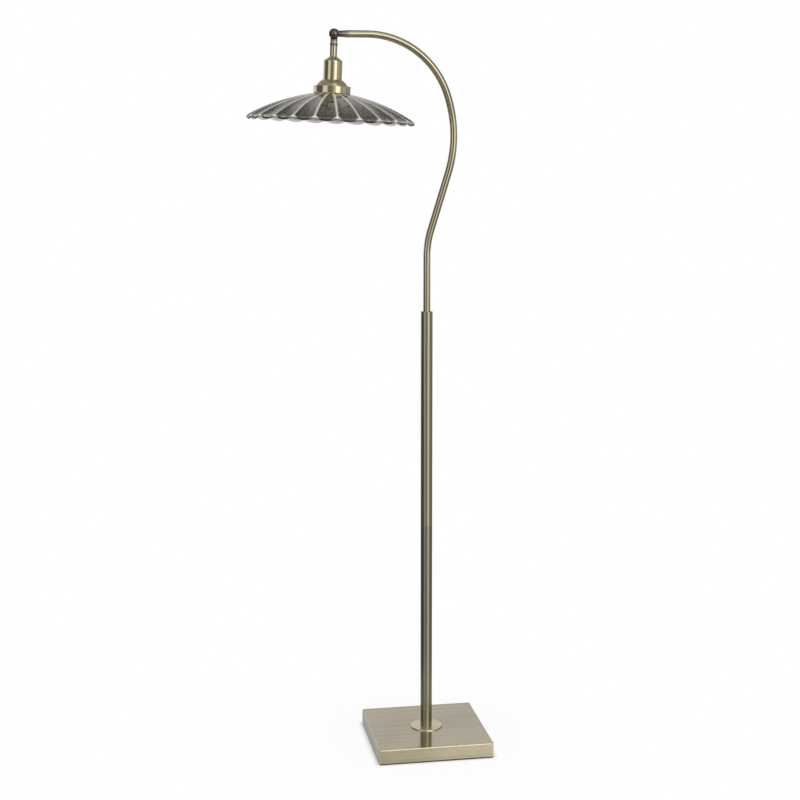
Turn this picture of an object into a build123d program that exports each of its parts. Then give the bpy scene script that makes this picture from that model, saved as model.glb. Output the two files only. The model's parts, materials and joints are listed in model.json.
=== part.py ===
"""Task floor lamp: weighted base, two-tube column, swan neck and a tilting head with a fluted glass shade.

Millimetres and degrees. The origin is the middle of the base's underside on the floor, +Z is up,
and the arm and the head reach towards -X in the XZ plane.
"""

import os
from math import asin, cos, radians, sin, sqrt, tan

from build123d import *

# Driving dimensions: base
base_side = 250.0
base_corner_r = 4.0
base_edge_r = 2.0
cover_h = 30.5
cover_wall = 1.2
pad_t = 3.0
pad_inset = 2.0
weight_slab_t = 13.0
weight_side_gap = 4.0
weight_boss_d = 56.0
weight_edge = 2.0
nut_pocket_d = 44.0
nut_pocket_depth = 12.0
cable_channel_w = 9.0
cable_height = 8.0
cable_bore_d = 6.6
grommet_neck_d = 10.0
grommet_flange_d = 13.0
grommet_flange_t = 1.5
foot_flange_d = 70.0
foot_flange_t = 2.5
foot_flange_edge = 0.9

# Driving dimensions: threaded stud of the base
stud_d = 10.0
stud_bore_d = 7.0
stud_tail = 3.0
stud_hole_play = 0.4
washer_d = 36.0
washer_t = 2.0
nut_across_flats = 17.0
nut_h = 7.0

# Driving dimensions: column
column_d = 25.0
column_wall = 1.2
column_top_z = 957.0
column_joint_z = 491.0
foot_plug_len = 30.0
joiner_len = 22.0
joiner_thread_d = 14.0
spigot_len = 18.0
joiner_bore_d = 9.0
tube_end_chamfer = 0.3
cap_bush_t = 2.5
cap_bush_len = 28.0
cap_bush_edge_r = 1.0

# Driving dimensions: swan neck, as straight runs and tangent arcs
neck_d = 15.0
neck_wall = 1.2
neck_bend_z = 1074.2
lean_r = 175.0
lean_angle = 17.2
lean_run = 125.0
side_r = 265.0
side_angle = 35.8
crown_r = 178.0
arm_run = 32.0

# Driving dimensions: ball-shaped knuckle
ball_d = 21.5
knuckle_reach = 35.0
knuckle_neck_d = 12.4
knuckle_collar_len = 7.0
knuckle_spigot_len = 15.0
knuckle_wire_d = 5.0
knuckle_play = 0.3
friction_washer_t = 0.8
friction_washer_d = 17.0
friction_washer_play = 0.05
pivot_d = 5.0
pivot_play = 0.05
pivot_depth = 7.0
pivot_head_d = 8.4
pivot_head_t = 2.2
pivot_slot_w = 1.2
pivot_slot_depth = 0.9
pivot_counterbore_play = 0.4
pivot_floor = 6.0
spring_washer_t = 1.0

# Driving dimensions: head, as distances along the head's axis
head_tilt = 2.7
knuckle_stem_d = 14.3
knuckle_stem_end = 19.0
stem_ring_d = 16.2
stem_ring_h = 5.0
stem_ring_edge_r = 1.2
stem_tube_d = 14.9
stem_tube_len = 22.0
nipple_d = 10.0
nipple_bore_d = 7.0
nipple_grip = 6.0
holder_cap_d = 38.2
holder_cap_wall = 1.0
holder_cap_top_d = 15.4
holder_cap_shoulder_h = 8.0
holder_cap_shoulder_r = 2.0
holder_cap_h = 46.6
nipple_nut_flats = 14.0
nipple_nut_h = 4.0

# Driving dimensions: shade cap and glass
dome_top_d = 41.0
dome_mid_d = 55.4
dome_mid_h = 6.2
dome_foot_d = 64.0
dome_h = 12.4
band_d = 75.6
band_h = 14.0
band_edge_r = 1.0
shade_cap_wall = 1.0
gasket_t = 1.0
gasket_w = 1.5
seat_play = 0.3
shade_d = 349.6
shade_arc_r = 388.0
shade_arc_offset = 27.0
glass_t = 4.0
glass_seat_d = 52.0
glass_hole_d = 30.0
flute_count = 24
flute_depth = 5.0
seat_flute_depth = 0.1
flute_growth = 1.5
flute_turn = 12.0
shade_sections = 6

# Driving dimensions: lampholder
holder_d = 27.6
holder_top_gap = 2.0
holder_grip = 8.0
holder_wire_d = 18.0
holder_floor_t = 4.0
ring_gasket_d = 36.0
ring_gasket_t = 1.5
shade_ring_d = 37.0
shade_ring_h = 7.0
skirt_d = 18.4
sleeve_d = 20.0
socket_d = 14.0
socket_wall = 0.4
socket_depth = 23.0
socket_shell_gap = 3.0
contact_d = 8.0
contact_t = 0.6
contact_button_d = 4.0
contact_h = 2.4

# Radial clearance of a piece seated in or screwed into another
fit = 0.05


def ring(outer_d, inner_d):
    """Flat ring in the current sketch."""
    Circle(outer_d / 2)
    Circle(inner_d / 2, mode=Mode.SUBTRACT)


def hexagon_nut(across_flats, hole_d):
    """Outline of a nut in the current sketch."""
    RegularPolygon(across_flats / 2, 6, major_radius=False)
    Circle(hole_d / 2, mode=Mode.SUBTRACT)


# Heights in the base and the column
cover_top_z = pad_t + cover_h
cover_ceiling_z = cover_top_z - cover_wall
flange_top_z = cover_top_z + foot_flange_t
pocket_top_z = pad_t + nut_pocket_depth
washer_z = pocket_top_z - washer_t
nut_z = washer_z - nut_h
column_bore_d = column_d - 2 * column_wall
column_plug_d = column_bore_d - 2 * fit
stud_hole_d = stud_d + 2 * stud_hole_play
thread_hole_d = stud_d + 2 * fit
tube_top_z = column_top_z - cap_bush_t

# Base
cover_inner_side = base_side - 2 * cover_wall

with BuildPart() as cover_hollow:
    with BuildSketch(Plane.XY.offset(pad_t)):
        RectangleRounded(cover_inner_side, cover_inner_side, base_corner_r - cover_wall)
    extrude(amount=cover_h - cover_wall)
    fillet(cover_hollow.faces().sort_by(Axis.Z)[-1].edges(), base_edge_r - cover_wall)

with BuildPart() as base_cover:
    with BuildSketch(Plane.XY.offset(pad_t)):
        RectangleRounded(base_side, base_side, base_corner_r)
    extrude(amount=cover_h)
    fillet(base_cover.faces().sort_by(Axis.Z)[-1].edges(), base_edge_r)
    add(cover_hollow.part, mode=Mode.SUBTRACT)
    with BuildSketch(Plane.XY.offset(cover_ceiling_z)):
        Circle(stud_hole_d / 2)
    extrude(amount=2 * cover_wall, mode=Mode.SUBTRACT)
    # Hole for the cable grommet in the rear wall
    with BuildSketch(Plane.XZ.offset(-base_side / 2)):
        with Locations((0, pad_t + cable_height)):
            Circle(grommet_neck_d / 2 + fit)
    extrude(amount=2 * cover_wall, mode=Mode.SUBTRACT)

weight_side = cover_inner_side - 2 * weight_side_gap

with BuildPart() as base_weight:
    with BuildSketch(Plane.XY.offset(pad_t)):
        RectangleRounded(weight_side, weight_side, base_corner_r)
    extrude(amount=weight_slab_t)
    chamfer(base_weight.faces().sort_by(Axis.Z)[-1].edges(), weight_edge)
    with BuildSketch(Plane.XY.offset(pad_t)):
        Circle(weight_boss_d / 2)
    extrude(amount=cover_ceiling_z - pad_t)
    with BuildSketch(Plane.XY.offset(pad_t)):
        Circle(nut_pocket_d / 2)
    extrude(amount=nut_pocket_depth, mode=Mode.SUBTRACT)
    with BuildSketch(Plane.XY.offset(pad_t)):
        Circle(stud_hole_d / 2)
    extrude(amount=cover_h, mode=Mode.SUBTRACT)
    # Channel that leads the mains lead from the nut's pocket to the grommet
    with BuildSketch(Plane.XY.offset(pad_t)):
        with Locations((0, weight_side / 4)):
            Rectangle(cable_channel_w, weight_side / 2)
    extrude(amount=nut_pocket_depth, mode=Mode.SUBTRACT)

with BuildPart() as base_pad:
    with BuildSketch():
        RectangleRounded(base_side - 2 * pad_inset, base_side - 2 * pad_inset, base_corner_r)
    extrude(amount=pad_t)

grommet_plane = Plane(
    origin=(0, base_side / 2, pad_t + cable_height), x_dir=(1, 0, 0), z_dir=(0, 1, 0)
)

with BuildPart() as cable_grommet:
    with BuildSketch(grommet_plane):
        Circle(grommet_flange_d / 2)
    extrude(amount=grommet_flange_t)
    fillet(cable_grommet.faces().sort_by(Axis.Y)[-1].edges(), grommet_flange_t / 2)
    with BuildSketch(grommet_plane):
        Circle(grommet_neck_d / 2)
    extrude(amount=-cover_wall)
    with BuildSketch(grommet_plane.offset(-cover_wall)):
        Circle(grommet_flange_d / 2)
    extrude(amount=-grommet_flange_t)
    with BuildSketch(grommet_plane.offset(grommet_flange_t)):
        Circle(cable_bore_d / 2)
    extrude(amount=-(2 * grommet_flange_t + cover_wall), mode=Mode.SUBTRACT)

with BuildPart() as foot_flange:
    with BuildSketch(Plane.XY.offset(cover_top_z)):
        Circle(foot_flange_d / 2)
    extrude(amount=foot_flange_t)
    fillet(foot_flange.faces().sort_by(Axis.Z)[-1].edges(), foot_flange_edge)
    with BuildSketch(Plane.XY.offset(cover_top_z)):
        Circle(stud_hole_d / 2)
    extrude(amount=foot_flange_t, mode=Mode.SUBTRACT)

with BuildPart() as base_stud:
    with BuildSketch(Plane.XY.offset(nut_z - stud_tail)):
        ring(stud_d, stud_bore_d)
    extrude(amount=flange_top_z + foot_plug_len - nut_z + stud_tail)

with BuildPart() as base_washer:
    with BuildSketch(Plane.XY.offset(washer_z)):
        ring(washer_d, thread_hole_d)
    extrude(amount=washer_t)

with BuildPart() as base_nut:
    with BuildSketch(Plane.XY.offset(nut_z)):
        hexagon_nut(nut_across_flats, thread_hole_d)
    extrude(amount=nut_h)

# Column
with BuildPart() as column_foot_plug:
    with BuildSketch(Plane.XY.offset(flange_top_z)):
        ring(column_plug_d, thread_hole_d)
    extrude(amount=foot_plug_len)

with BuildPart() as lower_tube:
    with BuildSketch(Plane.XY.offset(flange_top_z)):
        ring(column_d, column_bore_d)
    extrude(amount=column_joint_z - flange_top_z)
    chamfer(lower_tube.faces().sort_by(Axis.Z)[-1].edges().sort_by(SortBy.LENGTH)[-1], tube_end_chamfer)

with BuildPart() as joiner_nut:
    with BuildSketch(Plane.XY.offset(column_joint_z - joiner_len)):
        ring(column_plug_d, joiner_thread_d)
    extrude(amount=joiner_len)

with BuildPart() as joiner_spigot:
    with BuildSketch(Plane.XY.offset(column_joint_z)):
        Circle(column_plug_d / 2)
    extrude(amount=joiner_len)
    with BuildSketch(Plane.XY.offset(column_joint_z)):
        Circle(joiner_thread_d / 2 - fit)
    extrude(amount=-spigot_len)
    with BuildSketch(Plane.XY.offset(column_joint_z - spigot_len)):
        Circle(joiner_bore_d / 2)
    extrude(amount=spigot_len + joiner_len, mode=Mode.SUBTRACT)

with BuildPart() as upper_tube:
    with BuildSketch(Plane.XY.offset(column_joint_z)):
        ring(column_d, column_bore_d)
    extrude(amount=tube_top_z - column_joint_z)
    chamfer(upper_tube.faces().sort_by(Axis.Z)[0].edges().sort_by(SortBy.LENGTH)[-1], tube_end_chamfer)

with BuildPart() as cap_bush:
    with BuildSketch(Plane.XY.offset(tube_top_z)):
        Circle(column_d / 2)
    extrude(amount=cap_bush_t)
    fillet(cap_bush.faces().sort_by(Axis.Z)[-1].edges(), cap_bush_edge_r)
    with BuildSketch(Plane.XY.offset(tube_top_z)):
        Circle(column_plug_d / 2)
    extrude(amount=-cap_bush_len)
    with BuildSketch(Plane.XY.offset(column_top_z)):
        Circle(neck_d / 2 + fit)
    extrude(amount=-(cap_bush_t + cap_bush_len), mode=Mode.SUBTRACT)

# Swan neck: up, leaning outwards, back over the side and level along the crown
with BuildLine(Plane.XZ) as neck_path:
    rise = Line((0, tube_top_z - cap_bush_len), (0, neck_bend_z))
    lean = JernArc(rise @ 1, rise % 1, lean_r, -lean_angle)
    run = PolarLine(lean @ 1, lean_run, direction=lean % 1)
    side = JernArc(run @ 1, run % 1, side_r, side_angle)
    crown = JernArc(side @ 1, side % 1, crown_r, 90 + lean_angle - side_angle)
    arm = PolarLine(crown @ 1, arm_run, direction=crown % 1)

with BuildPart() as swan_neck:
    with BuildSketch(Plane(origin=neck_path.wire() @ 0, z_dir=neck_path.wire() % 0)):
        ring(neck_d, neck_d - 2 * neck_wall)
    sweep(path=neck_path.wire())

# Knuckle: two half balls that turn on a screw along Y
arm_end = neck_path.wire() @ 1
ball = Vector(arm_end.X - knuckle_reach, 0, arm_end.Z)
ball_r = ball_d / 2
relief_r = ball_r + knuckle_play
arm_section = Plane(origin=ball, x_dir=(1, 0, 0), z_dir=(0, -1, 0))
arm_axis = Axis(ball, (1, 0, 0))
pivot_plane = Plane(origin=ball, x_dir=(1, 0, 0), z_dir=(0, 1, 0))
half_gap = friction_washer_t / 2
spigot_r = neck_d / 2 - neck_wall - fit
head = Plane(
    origin=ball,
    x_dir=(cos(radians(head_tilt)), 0, -sin(radians(head_tilt))),
    z_dir=(sin(radians(head_tilt)), 0, cos(radians(head_tilt))),
)
head_section = Plane(origin=ball, x_dir=head.x_dir, z_dir=(0, -1, 0))
head_axis = Axis(ball, head.z_dir)


def below(distance):
    """Plane across the head's axis at a distance below the ball."""
    return head.offset(-distance)


with BuildPart() as knuckle_arm:
    with BuildSketch(arm_section):
        with BuildLine():
            Polyline(
                (0, 0),
                (0, knuckle_neck_d / 2),
                (ball_r, knuckle_neck_d / 2),
                (knuckle_reach - knuckle_collar_len, neck_d / 2),
                (knuckle_reach, neck_d / 2),
                (knuckle_reach, spigot_r),
                (knuckle_reach + knuckle_spigot_len, spigot_r),
                (knuckle_reach + knuckle_spigot_len, 0),
                close=True,
            )
        make_face()
    revolve(axis=arm_axis)
    with Locations(ball):
        Sphere(ball_r)
    with BuildSketch(pivot_plane.offset(-half_gap)):
        Circle(relief_r)
    extrude(amount=ball_d, mode=Mode.SUBTRACT)
    with BuildSketch(pivot_plane.offset(-half_gap)):
        Circle(pivot_d / 2 + fit)
    extrude(amount=-pivot_depth, mode=Mode.SUBTRACT)
    with BuildSketch(Plane.YZ.offset(ball.X + relief_r)):
        with Locations((0, ball.Z)):
            Circle(knuckle_wire_d / 2)
    extrude(amount=knuckle_reach + knuckle_spigot_len, mode=Mode.SUBTRACT)

with BuildPart() as knuckle_head:
    with BuildSketch(head):
        Circle(knuckle_stem_d / 2)
    extrude(amount=-knuckle_stem_end)
    with Locations(ball):
        Sphere(ball_r)
    with BuildSketch(pivot_plane.offset(half_gap)):
        Circle(relief_r)
    extrude(amount=-ball_d, mode=Mode.SUBTRACT)
    with BuildSketch(pivot_plane.offset(half_gap)):
        Circle(pivot_d / 2 + pivot_play)
    extrude(amount=ball_d, mode=Mode.SUBTRACT)
    with BuildSketch(pivot_plane.offset(pivot_floor)):
        Circle(pivot_head_d / 2 + pivot_counterbore_play)
    extrude(amount=ball_d, mode=Mode.SUBTRACT)
    with BuildSketch(below(knuckle_stem_end)):
        Circle(nipple_d / 2 + fit)
    extrude(amount=nipple_grip, mode=Mode.SUBTRACT)

pivot_head_y = pivot_floor + spring_washer_t + friction_washer_play

with BuildPart() as pivot_screw:
    with BuildSketch(pivot_plane.offset(pivot_head_y)):
        Circle(pivot_head_d / 2)
    extrude(amount=pivot_head_t)
    with BuildSketch(pivot_plane.offset(pivot_head_y)):
        Circle(pivot_d / 2)
    extrude(amount=-(pivot_head_y + pivot_depth))
    with BuildSketch(pivot_plane.offset(pivot_head_y + pivot_head_t)):
        Rectangle(pivot_head_d, pivot_slot_w)
    extrude(amount=-pivot_slot_depth, mode=Mode.SUBTRACT)

with BuildPart() as spring_washer:
    with BuildSketch(pivot_plane.offset(pivot_head_y)):
        ring(pivot_head_d, pivot_d + 2 * fit)
    extrude(amount=-spring_washer_t)

with BuildPart() as friction_washer:
    with BuildSketch(pivot_plane.offset(-half_gap)):
        ring(friction_washer_d, pivot_d + 2 * fit)
    extrude(amount=friction_washer_t - friction_washer_play)

# Stem of the head
ring_end = knuckle_stem_end + stem_ring_h
stem_end = ring_end + stem_tube_len
nipple_hole_d = nipple_d + 2 * fit
cap_floor = stem_end + holder_cap_shoulder_h
cap_end = stem_end + holder_cap_h
holder_top = cap_floor + nipple_nut_h + holder_top_gap

with BuildPart() as stem_ring:
    with BuildSketch(below(knuckle_stem_end)):
        Circle(stem_ring_d / 2)
    extrude(amount=-stem_ring_h)
    fillet(stem_ring.edges(), stem_ring_edge_r)
    with BuildSketch(below(knuckle_stem_end)):
        Circle(nipple_hole_d / 2)
    extrude(amount=-stem_ring_h, mode=Mode.SUBTRACT)

with BuildPart() as stem_tube:
    with BuildSketch(below(ring_end)):
        ring(stem_tube_d, nipple_hole_d)
    extrude(amount=-stem_tube_len)

with BuildPart() as stem_nipple:
    with BuildSketch(below(knuckle_stem_end - nipple_grip)):
        ring(nipple_d, nipple_bore_d)
    extrude(amount=-(holder_top + holder_grip - knuckle_stem_end + nipple_grip))

with BuildPart() as holder_cap:
    with BuildSketch(head_section):
        with BuildLine():
            Polyline(
                (nipple_hole_d / 2, -stem_end),
                (holder_cap_top_d / 2, -stem_end),
                (holder_cap_d / 2, -cap_floor),
                (holder_cap_d / 2, -cap_end),
                (holder_cap_d / 2 - holder_cap_wall, -cap_end),
                (holder_cap_d / 2 - holder_cap_wall, -cap_floor),
                (nipple_hole_d / 2, -cap_floor),
                close=True,
            )
        make_face()
    revolve(axis=head_axis)
    shoulder = holder_cap.edges().filter_by(GeomType.CIRCLE).group_by(SortBy.RADIUS)[-1].sort_by(Axis.Z)[-1]
    fillet(shoulder, holder_cap_shoulder_r)

with BuildPart() as nipple_nut:
    with BuildSketch(below(cap_floor)):
        hexagon_nut(nipple_nut_flats, nipple_hole_d)
    extrude(amount=-nipple_nut_h)

# Shade cap: dome and band pressed from one sheet
dome_foot = cap_end + dome_h
band_end = dome_foot + band_h
holder_hole_d = holder_d + 2 * seat_play

with BuildPart() as shade_cap:
    with BuildSketch(head_section):
        with BuildLine():
            top = Line((holder_hole_d / 2, -cap_end), (dome_top_d / 2, -cap_end))
            dome_mid = (dome_mid_d / 2, -cap_end - dome_mid_h)
            dome = ThreePointArc(top @ 1, dome_mid, (dome_foot_d / 2, -dome_foot))
            ledge = Line(dome @ 1, (band_d / 2, -dome_foot))
            band = Line(ledge @ 1, (band_d / 2, -band_end))
            offset(amount=shade_cap_wall, side=Side.RIGHT)
        make_face()
    revolve(axis=head_axis)
    rim_edges = shade_cap.edges().filter_by(GeomType.CIRCLE).group_by(SortBy.RADIUS)[-1]
    fillet(rim_edges.sort_by(Axis.Z)[-1], band_edge_r)

with BuildPart() as shade_gasket:
    with BuildSketch(below(band_end)):
        ring(band_d, band_d - 2 * gasket_w)
    extrude(amount=-gasket_t)

# Glass shade: a cap of even thickness whose panels sink between ridges.
# The ridges follow an arc whose centre lies past the axis, so the cap is a little pointed.
# The rim is ground square to the sheet, so each panel ends in a shallow rounded lobe.
gasket_inner_r = band_d / 2 - gasket_w
arc_rise = sqrt(shade_arc_r**2 - (gasket_inner_r + shade_arc_offset) ** 2)
arc_drop = band_end + gasket_t + seat_play + arc_rise
arc_plane = below(arc_drop)
rim_angle = asin((shade_d / 2 + shade_arc_offset) / shade_arc_r)
seat_angle = asin((glass_seat_d / 2 + shade_arc_offset) / shade_arc_r)
# Even steps from the seat to the rim, and one step past it for the grinding
section_step = (rim_angle - seat_angle) / (shade_sections - 1)
section_angles = [seat_angle + step * section_step for step in range(shade_sections + 1)]
flute_pitch = 360 / flute_count


def flute_sink(angle):
    """Depth of a panel below its ridges, growing ever faster from the seat to the rim."""
    way_out = (sin(angle) - sin(seat_angle)) / (sin(rim_angle) - sin(seat_angle))
    return seat_flute_depth + (flute_depth - seat_flute_depth) * way_out**flute_growth


def fluted_section(arc_r, angle):
    """Closed ring of hollow arcs between ridges, on the level where the ridges stand at the given angle."""
    height = arc_r * cos(angle)
    ridge_r = arc_r * sin(angle) - shade_arc_offset
    valley_r = sqrt((arc_r - flute_sink(angle)) ** 2 - height**2) - shade_arc_offset
    with BuildSketch(arc_plane.offset(height)) as section:
        with BuildLine():
            for flute in range(flute_count):
                turn = flute_turn + flute * flute_pitch
                ThreePointArc(
                    Vector(ridge_r, 0).rotate(Axis.Z, turn),
                    Vector(valley_r, 0).rotate(Axis.Z, turn + flute_pitch / 2),
                    Vector(ridge_r, 0).rotate(Axis.Z, turn + flute_pitch),
                )
        make_face()
    return section.sketch


with BuildPart() as glass_shade:
    loft([fluted_section(shade_arc_r, angle) for angle in section_angles])
    loft([fluted_section(shade_arc_r - glass_t, angle) for angle in section_angles], mode=Mode.SUBTRACT)
    # Grind the rim to a cone of lines through the arc's centre
    with BuildSketch(Plane(origin=arc_plane.origin, x_dir=head.x_dir, z_dir=(0, -1, 0))):
        with BuildLine():
            Polyline(
                (0, shade_arc_offset / tan(rim_angle)),
                (shade_arc_r * tan(rim_angle) - shade_arc_offset, shade_arc_r),
                (0, shade_arc_r),
                close=True,
            )
        make_face()
    revolve(axis=head_axis, mode=Mode.INTERSECT)
    with BuildSketch(below(cap_end)):
        Circle(glass_hole_d / 2)
    extrude(amount=-(arc_drop - cap_end), mode=Mode.SUBTRACT)

# Lampholder and the ring that holds the glass
glass_floor = arc_drop - (shade_arc_r - glass_t) * cos(seat_angle)
ring_top = glass_floor + ring_gasket_t
holder_end = ring_top + shade_ring_h
socket_end = holder_end + socket_depth
holder_floor = holder_end - holder_floor_t
socket_hole_d = socket_d + 2 * socket_wall + 2 * fit

with BuildPart() as ring_gasket:
    with BuildSketch(below(glass_floor)):
        ring(ring_gasket_d, glass_hole_d)
    extrude(amount=-ring_gasket_t)

with BuildPart() as shade_ring:
    with BuildSketch(below(ring_top)):
        ring(shade_ring_d, holder_d + 2 * fit)
    extrude(amount=-shade_ring_h)

with BuildPart() as lampholder_body:
    with BuildSketch(below(holder_top)):
        Circle(holder_d / 2)
    extrude(amount=-(holder_end - holder_top))
    with BuildSketch(below(holder_end)):
        Circle(skirt_d / 2)
    extrude(amount=-socket_depth)
    with BuildSketch(below(holder_top)):
        Circle(nipple_hole_d / 2)
    extrude(amount=-holder_grip, mode=Mode.SUBTRACT)
    with BuildSketch(below(holder_top + holder_grip)):
        Circle(holder_wire_d / 2)
    extrude(amount=-(holder_floor - holder_top - holder_grip), mode=Mode.SUBTRACT)
    with BuildSketch(below(holder_end)):
        Circle(socket_hole_d / 2)
    extrude(amount=-socket_depth, mode=Mode.SUBTRACT)

with BuildPart() as lampholder_sleeve:
    with BuildSketch(below(holder_end)):
        ring(sleeve_d, skirt_d + 2 * fit)
    extrude(amount=-socket_depth)

with BuildPart() as screw_shell:
    with BuildSketch(below(holder_end + socket_shell_gap)):
        ring(socket_d + 2 * socket_wall, socket_d)
    extrude(amount=-(socket_depth - socket_shell_gap))

with BuildPart() as centre_contact:
    with BuildSketch(below(holder_end)):
        Circle(contact_d / 2)
    extrude(amount=-contact_t)
    with BuildSketch(below(holder_end)):
        Circle(contact_button_d / 2)
    extrude(amount=-contact_h)
    fillet(centre_contact.faces().sort_by(Axis.Z)[0].edges(), contact_t)

pieces = {
    "base_cover": base_cover,
    "base_weight": base_weight,
    "base_pad": base_pad,
    "cable_grommet": cable_grommet,
    "foot_flange": foot_flange,
    "base_stud": base_stud,
    "base_washer": base_washer,
    "base_nut": base_nut,
    "column_foot_plug": column_foot_plug,
    "lower_tube": lower_tube,
    "joiner_nut": joiner_nut,
    "joiner_spigot": joiner_spigot,
    "upper_tube": upper_tube,
    "cap_bush": cap_bush,
    "swan_neck": swan_neck,
    "knuckle_arm": knuckle_arm,
    "knuckle_head": knuckle_head,
    "pivot_screw": pivot_screw,
    "spring_washer": spring_washer,
    "friction_washer": friction_washer,
    "stem_ring": stem_ring,
    "stem_tube": stem_tube,
    "stem_nipple": stem_nipple,
    "holder_cap": holder_cap,
    "nipple_nut": nipple_nut,
    "shade_cap": shade_cap,
    "shade_gasket": shade_gasket,
    "glass_shade": glass_shade,
    "ring_gasket": ring_gasket,
    "shade_ring": shade_ring,
    "lampholder_body": lampholder_body,
    "lampholder_sleeve": lampholder_sleeve,
    "screw_shell": screw_shell,
    "centre_contact": centre_contact,
}

os.makedirs("parts", exist_ok=True)
for name, piece in pieces.items():
    piece.part.label = name
    export_step(piece.part, f"parts/{name}.step")

# Places that the record states
places = {"socket mouth": socket_end, "socket floor": holder_end, "glass centre": arc_drop}
for label, distance in places.items():
    print(label, below(distance).origin)
print("ball", ball, "head axis", head.z_dir, "swan neck length", neck_path.wire().length)
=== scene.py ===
"""Looks of a task floor lamp: antique brass stand, dark bronze knuckle and a fluted smoked glass shade.

Metres, in the part's own frame: the column stands on the origin and the arm reaches towards -X.
"""

import json
import math

import bmesh
import bpy
from mathutils import Matrix, Quaternion, Vector


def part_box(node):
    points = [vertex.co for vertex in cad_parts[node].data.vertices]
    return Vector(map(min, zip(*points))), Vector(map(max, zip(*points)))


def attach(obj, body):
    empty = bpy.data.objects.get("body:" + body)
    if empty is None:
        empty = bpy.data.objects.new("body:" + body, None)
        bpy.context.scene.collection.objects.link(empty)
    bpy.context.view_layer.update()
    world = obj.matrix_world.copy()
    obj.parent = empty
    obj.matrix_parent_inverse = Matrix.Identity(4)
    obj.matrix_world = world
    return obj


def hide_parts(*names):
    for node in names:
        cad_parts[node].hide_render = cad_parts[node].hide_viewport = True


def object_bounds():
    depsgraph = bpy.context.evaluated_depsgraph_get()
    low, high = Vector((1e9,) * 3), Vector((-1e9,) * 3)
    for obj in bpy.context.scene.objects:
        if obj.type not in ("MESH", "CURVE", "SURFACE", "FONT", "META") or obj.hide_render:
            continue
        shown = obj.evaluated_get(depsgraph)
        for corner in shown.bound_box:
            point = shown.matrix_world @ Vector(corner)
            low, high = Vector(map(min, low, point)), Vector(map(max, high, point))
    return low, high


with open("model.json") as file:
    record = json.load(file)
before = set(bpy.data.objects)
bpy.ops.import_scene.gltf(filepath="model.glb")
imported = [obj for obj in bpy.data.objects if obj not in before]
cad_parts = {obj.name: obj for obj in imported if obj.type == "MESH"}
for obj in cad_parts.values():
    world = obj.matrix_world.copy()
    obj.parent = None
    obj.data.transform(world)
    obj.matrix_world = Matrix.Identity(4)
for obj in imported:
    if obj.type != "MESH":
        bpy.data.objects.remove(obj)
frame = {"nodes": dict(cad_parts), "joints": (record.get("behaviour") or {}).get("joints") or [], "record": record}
cad_low, cad_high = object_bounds()
nodes = frame["nodes"]
slots = {row["node"]: row["material_slot"] for row in frame["record"]["subparts"]}
mounts = {mount["name"]: mount for mount in frame["record"]["mounts"]}

# Camera, fitted to the base's corners, the column, the knuckle and the rim
image_px = 800
focal_px = 1554
sensor_mm = 36.0
camera_distance = 3.281
camera_height = 1.323
camera_azimuth = math.radians(10.76)
camera_yaw = math.radians(9.765)
camera_pitch = math.radians(9.63)
camera_roll = math.radians(-0.08)
camera_clip_end = 50.0

# Frames of the two bodies: the stand's is the part's own, the head's starts at the knuckle's ball
up = Vector((0, 0, 1))
side = Vector((0, 1, 0))
ball = Vector(frame["joints"][0]["pos_m"])
head_up = -Vector(mounts["lamp_socket"]["axis"]).normalized()
head_out = side.cross(head_up)
stand_place = Matrix.Identity(4)
head_place = Matrix.Translation(ball) @ Matrix((head_out, side, head_up)).transposed().to_4x4()
places = {"stand": stand_place, "head": head_place}

# Base
base_corner_r = 0.004
base_edge_r = 0.002
cover_wall = 0.0012
base_edge_steps = 6
wear_and_highlight_reach = base_edge_r * 1.01
level_normal = 0.7
top_ring_shares = (0.6, 0.3)
side_steps = 14
corner_steps = 8
pad_edge_r = 0.0008
pad_bevel_share = 0.3
flange_edge_r = 0.0009
flange_foot_r = 0.0002
grommet_hole_r = 0.00505
grommet_cut_depth = 0.02
grommet_cut_segments = 48
grommet_lip = 0.0015
grommet_groove = 0.0015
grommet_lip_r = 0.0004
grommet_inner_r = 0.0006
grommet_outer_r = 0.0007
grommet_mouth_r = 0.0005
grommet_segments = 64

# Tubes
tube_edge_r = 0.0003
bush_edge_r = 0.001
bush_seat_r = 0.0001
bush_mouth_r = 0.0002
plug_fit = 0.00005
neck_d = 0.015
neck_wall = 0.0012
neck_bend_z = 1.0742
lean_r = 0.175
lean_angle = math.radians(17.2)
lean_run = 0.125
side_r = 0.265
side_angle = math.radians(35.8)
crown_r = 0.178
arm_run = 0.032
bend_step = math.radians(0.75)
neck_segments = 96

# Head
knuckle_dark_r = 0.0142
knuckle_clear_r = 0.0172
arm_fade = (0.011, 0.034)
stem_ring_edge_r = 0.0012
cap_top_r = 0.0077
cap_shoulder_h = 0.008
cap_shoulder_r = 0.002
cap_wall = 0.001
dome_top_r = 0.0205
dome_mid_r = 0.0277
dome_mid_h = 0.0062
dome_foot_r = 0.032
dome_h = 0.0124
dome_steps = 16
# How far the dome's inside lies in from its foot, in and down from its middle, and in from its top
dome_foot_wall = 0.7 * cap_wall
dome_mid_wall = (0.8 * cap_wall, 0.5 * cap_wall)
dome_top_wall = 0.5 * cap_wall
band_edge_r = 0.001
edge_r = 0.0003
ring_foot_bevel = (0.0015, 0.0012)
ring_top_bevel = 0.0008
ring_foot_r = 0.0005
ring_ribs = 48
ring_rib_h = 0.0006
ring_rib_depth = 0.0009
ring_rib_steps = 8
sleeve_edge_r = 0.0002
sleeve_foot_r = 0.0004
thread_pitch = 0.0028
thread_h = 0.0004
thread_steps = 10

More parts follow.
